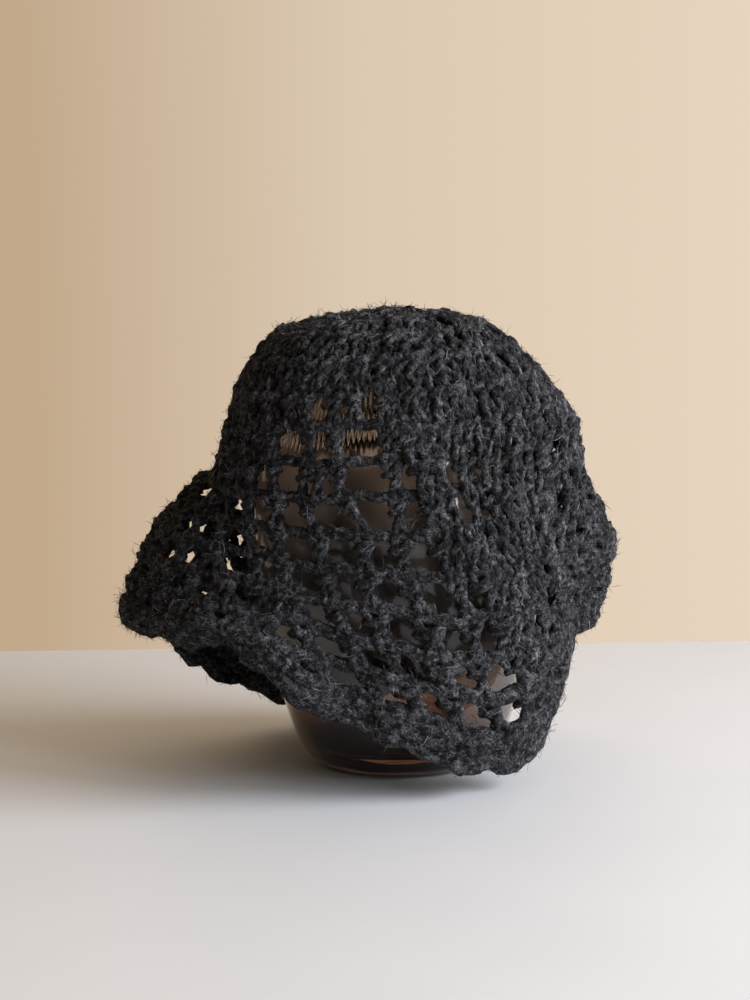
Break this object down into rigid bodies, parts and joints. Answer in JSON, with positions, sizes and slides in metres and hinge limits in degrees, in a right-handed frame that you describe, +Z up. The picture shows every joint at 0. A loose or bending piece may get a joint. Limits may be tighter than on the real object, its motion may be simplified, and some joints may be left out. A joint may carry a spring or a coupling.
{
  "type": "crochet beanie on a glass jar",
  "caption": "Black crochet beanie with an open mesh side and a wavy drooping brim, hung over a round smoked-glass jar that stands on its flat base.",
  "frame": {"origin": "centre of the jar's flat underside, on the surface that the jar stands on", "axes": "+Z up along the jar's axis; -Y is the front that the picture shows; +X is the picture's right, where the short side lobe is"},
  "size_m": [0.2425, 0.1968, 0.221],
  "materials": {
    "crown_wool": "crocheted bulky wool yarn, brushed and fuzzy",
    "side_wool": "open crochet mesh in bulky wool yarn, brushed and fuzzy",
    "brim_wool": "open crochet mesh in bulky wool yarn, brushed and fuzzy",
    "edging_wool": "single crochet round in bulky wool yarn, brushed and fuzzy",
    "smoked_glass": "clear smooth blown glass, smoke brown"
  },
  "bodies": {
    "root": {"crown": "crown_wool", "mesh_side": "side_wool", "brim": "brim_wool", "edging": "edging_wool", "glass_jar": "smoked_glass"}
  },
  "joints": []
}
